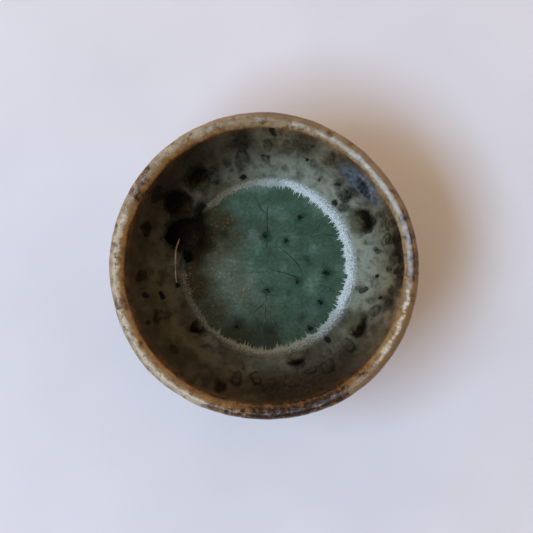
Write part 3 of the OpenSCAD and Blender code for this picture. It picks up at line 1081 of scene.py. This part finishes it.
# On the melted side the pale stops near the inner edge are partly painted highlight
by_reach_melted_and_highlight = add(tree, "ValToRGB", {0: across}, stops=(
    (0.0, "#6b573b"), (0.1, "#8c7450"), (0.22, "#9a8a6c"), (0.45, "#8b7857"), (0.7, "#7d6846"),
    (1.0, "#5f4a30")))
melted = facing(tree, place, 28, -0.1, 0.7)
golden = facing(tree, place, 332, 0.75, 0.97)
sided = laid(tree, by_reach, (melted, 0, 1, 1, by_reach_melted_and_highlight), (golden, 0, 1, 0.6, "#7d5a28"))
colour, blots = scorched(tree, place, shaded(tree, sided, 0.6, fine, 0.3, "#9a9184", 0.6))
satin = add(tree, "MapRange", {0: facing(tree, place, 205, 0.3, 0.95), 4: 0.14})
glossy = add(tree, "MapRange", {0: melted, 3: 0.2, 4: 0.12})
rough = swayed(tree, add(tree, "Math", {0: glossy, 1: satin}, operation="ADD"), blots, 0.2)
fill(tree, shader, {
    "Base Color": colour, "IOR": 1.52, "Specular IOR Level": 0.32, "Roughness": rough,
    "Normal": add(tree, "Bump", {"Height": fine, "Strength": 0.6, "Distance": 0.15 * MM})})
dress(lip_coat, lip_finish, "lip_glaze")

# %% [markdown]
# ### Ash glaze outside
#
# Outside, the glaze falls from the cream of the lip through tan to olive and brown in long streaks, and
# ends in thick, glossy, darker runs.

# %% Outer glaze
LIP_BLEND = 5 * MM
outer_finish, tree, shader, place = finish_of("ash_glaze_streaked")
streaky = add(tree, "VectorMath", {0: place, 1: (1, 1, 1 / OUTER_STRETCH)}, operation="MULTIPLY")
fine = add(tree, "TexNoise", {"Vector": streaky, "Scale": grain(1.6), "Detail": 5, "Roughness": 0.6})
broad = add(tree, "TexNoise", {"Vector": streaky, "Scale": grain(9), "Detail": 3})
height = add(tree, "SeparateXYZ", {0: place}).outputs["Z"]
level = add(tree, "MapRange", {0: height, 1: lowest_run, 2: lip_top})
uneven = swayed(tree, swayed(tree, level, broad, 1.1), fine, 0.4)
by_level = add(tree, "ValToRGB", {0: uneven}, stops=(
    (0.0, "#46361f"), (0.16, "#5a5037"), (0.35, "#6f6849"), (0.55, "#7d6c4b"), (0.78, "#8c795c"),
    (1.0, "#98866d")))
blended = laid(tree, by_level, (height, band_z - LIP_BLEND, band_z, 1, "#867459"))
colour, blots = scorched(tree, place, blended)
fill(tree, shader, {
    "Base Color": colour, "IOR": 1.52,
    "Roughness": add(tree, "MapRange", {0: blots, 3: 0.16, 4: 0.45}),
    "Normal": add(tree, "Bump", {"Height": fine, "Strength": 0.3, "Distance": 0.12 * MM})})
dress(outer_coat, outer_finish, "outer_glaze")

# %% [markdown]
# ### Bare stoneware
#
# The foot is unglazed, sandy stoneware, toasted red-brown by the fire, with pale grit.

# %% Bare clay
clay_finish, tree, shader, place = finish_of("stoneware_toasted")
toast = add(tree, "TexNoise", {"Vector": place, "Scale": grain(9), "Detail": 4})
sand = add(tree, "TexNoise", {"Vector": place, "Scale": grain(0.7), "Detail": 3, "Roughness": 0.7})
grit = add(tree, "TexVoronoi", {"Vector": place, "Scale": grain(1.4)}).outputs["Distance"]
toasted = add(tree, "ValToRGB", {0: toast}, stops=(
    (0.3, "#5b3d28"), (0.5, "#7b5338"), (0.7, "#8f6a4a")))
sandy = shaded(tree, toasted, 0.8, sand, 0.3, "#8a8178", 0.65)
colour = laid(tree, sandy, (swayed(tree, grit, toast, 0.3), 0.17, 0.08, 0.8, "#ab9070"))
fill(tree, shader, {
    "Base Color": colour, "Roughness": 0.82,
    "Normal": add(tree, "Bump", {"Height": sand, "Strength": 0.6, "Distance": 0.15 * MM})})
dress(clay, clay_finish, "clay_body")

# %% [markdown]
# ### Green ash glass
#
# The pool is a bottle-green glass, coloured by a little iron. It is clearest at the right of the
# photograph. Towards the left it is clouded by grey haze and then brown, with unmelted grains of ash
# in it, pale in the haze and tan in the brown. At its thin rim the wall's glaze shows through, and
# smoke from the slag lies over it all. Listed marks also make it darker on its near side, towards -Y.

# %% Green glass
RIM_FROM, RIM_FULL = 1.2 * MM, 0.3 * MM
pool_finish, tree, shader, place = finish_of("ash_glass_green")
clouds = add(tree, "TexNoise", {"Vector": place, "Scale": grain(7), "Detail": 4, "Roughness": 0.55})
fine = add(tree, "TexNoise", {"Vector": place, "Scale": grain(0.9), "Detail": 4, "Roughness": 0.7})
dots = add(tree, "TexVoronoi", {"Vector": place, "Scale": grain(1.1)}).outputs["Distance"]
haze, brown, stain, smoke = [add(tree, "Attribute", attribute_name=name).outputs["Fac"]
                             for name in ("haze", "brown", "stain", "smoke")]
green = add(tree, "ValToRGB", {0: clouds}, stops=(
    (0.3, "#485a45"), (0.5, "#566a52"), (0.68, "#738872")))
hazy = swayed(tree, haze, clouds, 0.8)
browned = add(tree, "MapRange", {0: swayed(tree, brown, clouds, 0.45), 1: 0.1, 2: 1, 4: 0.92})
clouded = add(tree, "Math", {0: haze, 1: browned}, operation="MAXIMUM")
thinned = swayed(tree, swayed(tree, clouded, fine, 2.4), clouds, 1.6)
uneven = swayed(tree, dots, fine, 0.9)
sown = add(tree, "Math", {0: add(tree, "MapRange", {0: thinned, 1: 0.4, 2: 1.1}),
                          1: add(tree, "MapRange", {0: uneven, 1: 0.36, 2: 0.12, 4: 0.75})},
           operation="MULTIPLY")
ash = laid(tree, "#a39c86", (browned, 0, 1, 1, "#80653d"))
# The wall's glaze under the pool's rim, with the same painted shade on the side away from the lamp
glaze_below = laid(tree, FIRE_AND_SHADE_FILM, (facing(tree, place, *COOL_AND_LIT_SIDE), 0, 1, 1, COOL_AND_LIT_FILM))
# Smoke from the slag, and the darkening of the pool's near side
smoke_and_darkening = swayed(tree, smoke, clouds, 0.6)
filled = laid(tree, green, (hazy, 0.1, 1, 0.75, "#776e58"), (browned, 0, 1, 1, "#452e13"),
              (stain, 0, 1, 1, "#1b2a20"), (sown, 0, 1, 1, ash),
              (reach_of(tree, place), pool_r - RIM_FROM, pool_r - RIM_FULL, 1, glaze_below),
              (smoke_and_darkening, 0.3, 1, 0.97, "#120b04"))
colour = shaded(tree, filled, 1.0, fine, 0.3, "#cfcfcf", 0.6)
fill(tree, shader, {"Base Color": colour, "Roughness": 0.1, "IOR": 1.5, "Specular IOR Level": 0.15})
dress(pool, pool_finish, "glass_pool")

# %% [markdown]
# ### Frost crystals
#
# The frost is a crust of white crystals, tan on the side that took more fire. It breaks up into specks
# towards the wall, so noise eats into it there, over a wider edge at the lower right. It is thin where
# the fire was hottest, and melts away in the smoke.

# %% Frost
frost_finish, tree, shader, place = finish_of("crystal_crust_white")
specky = add(tree, "TexNoise", {"Vector": place, "Scale": grain(0.45), "Detail": 4, "Roughness": 0.7})
patchy = add(tree, "TexNoise", {"Vector": place, "Scale": grain(3), "Detail": 3})
smoke, inward = [add(tree, "Attribute", attribute_name=name).outputs["Fac"]
                 for name in ("smoke", "inward")]
bright = swayed(tree, facing(tree, place, 22, -0.35, 1.0), patchy, 0.4)
crust = add(tree, "ValToRGB", {0: bright}, stops=(
    (0.0, "#9f8b69"), (0.35, "#a89f8b"), (0.65, "#c0beb2"), (0.95, "#f6f2e8")))
chalky = shaded(tree, crust, 1.0, specky, 0.3, "#bebeba", 0.6)
slim = add(tree, "MapRange", {0: facing(tree, place, 320, -0.6, 0.2), 3: 1.0, 4: 0.56})
inner = add(tree, "Math", {0: inward, 1: slim}, operation="MULTIPLY")
grown = swayed(tree, add(tree, "MapRange", {0: inner, 2: 0.44}), specky, 1.4)
fired = add(tree, "MapRange", {0: facing(tree, place, 350, -0.95, 0.0), 3: -0.6, 4: 0.0})
lacking = add(tree, "Math", {0: smoke, 1: -1.2, 2: fired}, operation="MULTIPLY_ADD")
solid = add(tree, "Math", {0: grown, 1: lacking}, operation="ADD")
fill(tree, shader, {
    "Base Color": laid(tree, chalky, (smoke, 0, 1, 1, "#1a130b")),
    "Roughness": 0.6, "Specular IOR Level": 0.15,
    "Alpha": add(tree, "MapRange", {0: solid, 1: 0.15, 2: 0.85}),
    "Normal": add(tree, "Bump", {"Height": specky, "Strength": 0.5, "Distance": 0.1 * MM})})
dress(frost, frost_finish, "frost_ring")

# %% [markdown]
# ### Slag, iron, ash and cracks
#
# The small pieces are glassy too: black slag that thins to olive and gold towards its middle and the
# pool, iron-black blots that fade at their edges, tan ash, and cracks a little darker than the glass
# around them, with painted glints along them and a painted highlight on their tilted sides.

# %% Slag
slag_finish, tree, shader, place = finish_of("kiln_slag_black")
streaky = add(tree, "VectorMath", {0: place, 1: (1, 1, 1 / WALL_STRETCH)}, operation="MULTIPLY")
swirl = add(tree, "TexNoise", {"Vector": streaky, "Scale": grain(1.6), "Detail": 5, "Distortion": 0.8})
up_wall, olive, middle = [add(tree, "Attribute", attribute_name=name).outputs["Fac"]
                          for name in ("up_wall", "olive", "middle")]
pool_side = add(tree, "Math", {0: up_wall, 1: -0.6, 2: 0.45}, operation="MULTIPLY_ADD")
thin = add(tree, "Math", {0: swayed(tree, pool_side, swirl, 1.0), 1: olive}, operation="MULTIPLY")
colour = add(tree, "ValToRGB", {0: thin}, stops=(
    (0.05, "#070503"), (0.22, "#1d160c"), (0.42, "#3b301c"), (0.75, "#6e684f")))
edge = add(tree, "MapRange", {0: swayed(tree, middle, swirl, 0.25), 2: 0.35})
cover = add(tree, "Math", {0: edge, 1: add(tree, "MapRange", {0: thin, 1: 1.8, 2: 0.5})},
            operation="MULTIPLY")
fill(tree, shader, {"Base Color": colour, "Roughness": 0.8, "IOR": 1.55, "Specular IOR Level": 0.05,
                    "Alpha": cover})
dress(slag, slag_finish, "slag_clots")

# %% Iron blots
iron_finish, tree, shader, place = finish_of("iron_blot")
rust = add(tree, "TexNoise", {"Vector": place, "Scale": grain(0.6), "Detail": 3})
colour = add(tree, "ValToRGB", {0: rust}, stops=((0.4, "#0b100b"), (0.6, "#141d16"), (0.75, "#2b352a")))
middle = add(tree, "Attribute", attribute_name="middle").outputs["Fac"]
cover = add(tree, "MapRange", {0: swayed(tree, middle, rust, 1.9), 2: 0.8, 4: 0.9})
fill(tree, shader, {"Base Color": colour, "Roughness": 0.6, "IOR": 1.5, "Specular IOR Level": 0.1,
                    "Alpha": cover})
dress(specks, iron_finish, "iron_specks")

# %% Ash thread
thread_finish, tree, shader, place = finish_of("ash_glass_tan")
tan = add(tree, "TexNoise", {"Vector": place, "Scale": grain(2), "Detail": 2})
colour = add(tree, "ValToRGB", {0: tan}, stops=((0.35, "#a06c3c"), (0.6, "#d3a474")))
fill(tree, shader, {"Base Color": colour, "Roughness": 0.25, "IOR": 1.5})
dress(thread, thread_finish, "ash_thread")

# %% Cracks
crack_finish, tree, shader, place = finish_of("crackle_line")
painted_glint = add(tree, "TexNoise", {"Vector": place, "Scale": grain(4), "Detail": 3})
# Painted glint: the pale stop of this ramp stands for light caught along the cracks
colour = add(tree, "ValToRGB", {0: painted_glint}, stops=((0.4, "#21332a"), (0.55, "#334737"), (0.68, "#6b7d69")))
upright = add(tree, "SeparateXYZ", {0: add(tree, "TexCoord").outputs["Normal"]}).outputs["Z"]
# Painted highlight: where a cord's side tilts away from upright, its colour is paler
painted_highlight_edges = laid(tree, colour, (upright, 0.85, 0.6, 0.5, "#7d8973"))
fill(tree, shader, {"Base Color": painted_highlight_edges, "Roughness": 0.7, "IOR": 1.5, "Specular IOR Level": 0.08})
dress(cracks, crack_finish)

# %% [markdown]
# ## Floor and light
#
# The floor is plain and pale. One large soft lamp with a cool tint stands at the lower left, as the
# shadow asks for. The walls of the room give an even, warmer light. The ceiling and the near wall are
# dim, so that glass and lip show their own colour. Together they are white on the floor.

# %% Floor, lamp and room
FLOOR_SIDE = 3.0
LAMP_TURN, LAMP_RISE = math.radians(203), math.radians(71)
LAMP_AWAY, LAMP_WIDE, LAMP_TALL, LAMP_WATTS = 0.9, 0.4, 0.26, 6.6
WALL_GLOW, CEILING_GLOW, NEAR_GLOW = 1.38, 0.12, 0.3
# Directions' Z and Y: where the ceiling starts and is full, and where the near wall is full and ends
CEILING_FROM, CEILING_FULL = 0.6, 0.9
NEAR_FULL, NEAR_END = -0.8, 0.2

bpy.ops.mesh.primitive_plane_add(size=FLOOR_SIDE, location=(0, 0, 0))
floor = bpy.context.object
floor.name = floor.data.name = "floor"
floor_finish, tree, shader, place = finish_of("pale_table")
tint = add(tree, "TexNoise", {"Vector": place, "Scale": grain(40), "Detail": 2})
colour = add(tree, "ValToRGB", {0: tint}, stops=((0.3, "#d6d6dd"), (0.7, "#dcdce3")))
fill(tree, shader, {"Base Color": colour, "Roughness": 0.9})
floor.data.materials.append(floor_finish)

lamp = bpy.data.objects.new("window_lamp", bpy.data.lights.new("window_lamp", "AREA"))
scene.collection.objects.link(lamp)
lamp.data.shape = "RECTANGLE"
lamp.data.size, lamp.data.size_y = LAMP_WIDE, LAMP_TALL
lamp.data.energy = LAMP_WATTS
lamp.data.color = linear("#bfdfff")[:3]
lamp_from = Vector((math.cos(LAMP_TURN) * math.cos(LAMP_RISE), math.sin(LAMP_TURN) * math.cos(LAMP_RISE),
                    math.sin(LAMP_RISE)))
lamp.location = lamp_from * LAMP_AWAY
lamp.rotation_euler = (-lamp_from).to_track_quat("-Z", "Y").to_euler()

world = bpy.data.worlds.new("room")
scene.world = world
world.use_nodes = True
tree = world.node_tree
room = next(node for node in tree.nodes if node.type == "BACKGROUND")
seen = add(tree, "LightPath").outputs["Is Camera Ray"]
towards = add(tree, "SeparateXYZ", {0: add(tree, "TexCoord").outputs["Generated"]}).outputs
nearness = add(tree, "MapRange", {0: towards["Y"], 1: NEAR_FULL, 2: NEAR_END, 3: NEAR_GLOW})
walls = add(tree, "MapRange", {0: towards["Z"], 1: CEILING_FROM, 2: CEILING_FULL, 3: WALL_GLOW,
                               4: CEILING_GLOW})
glow = add(tree, "Math", {0: walls, 1: nearness}, operation="MULTIPLY")
fill(tree, room, {
    "Color": add(tree, "Mix", {0: seen, 6: "#ffddb8", 7: "#e4e4e8"}, data_type="RGBA"),
    "Strength": add(tree, "Mix", {0: seen, 2: glow, 3: 1.0})})
scene.view_settings.view_transform = "Standard"
print(f"lamp at {math.degrees(LAMP_RISE):.0f} degrees above the floor")
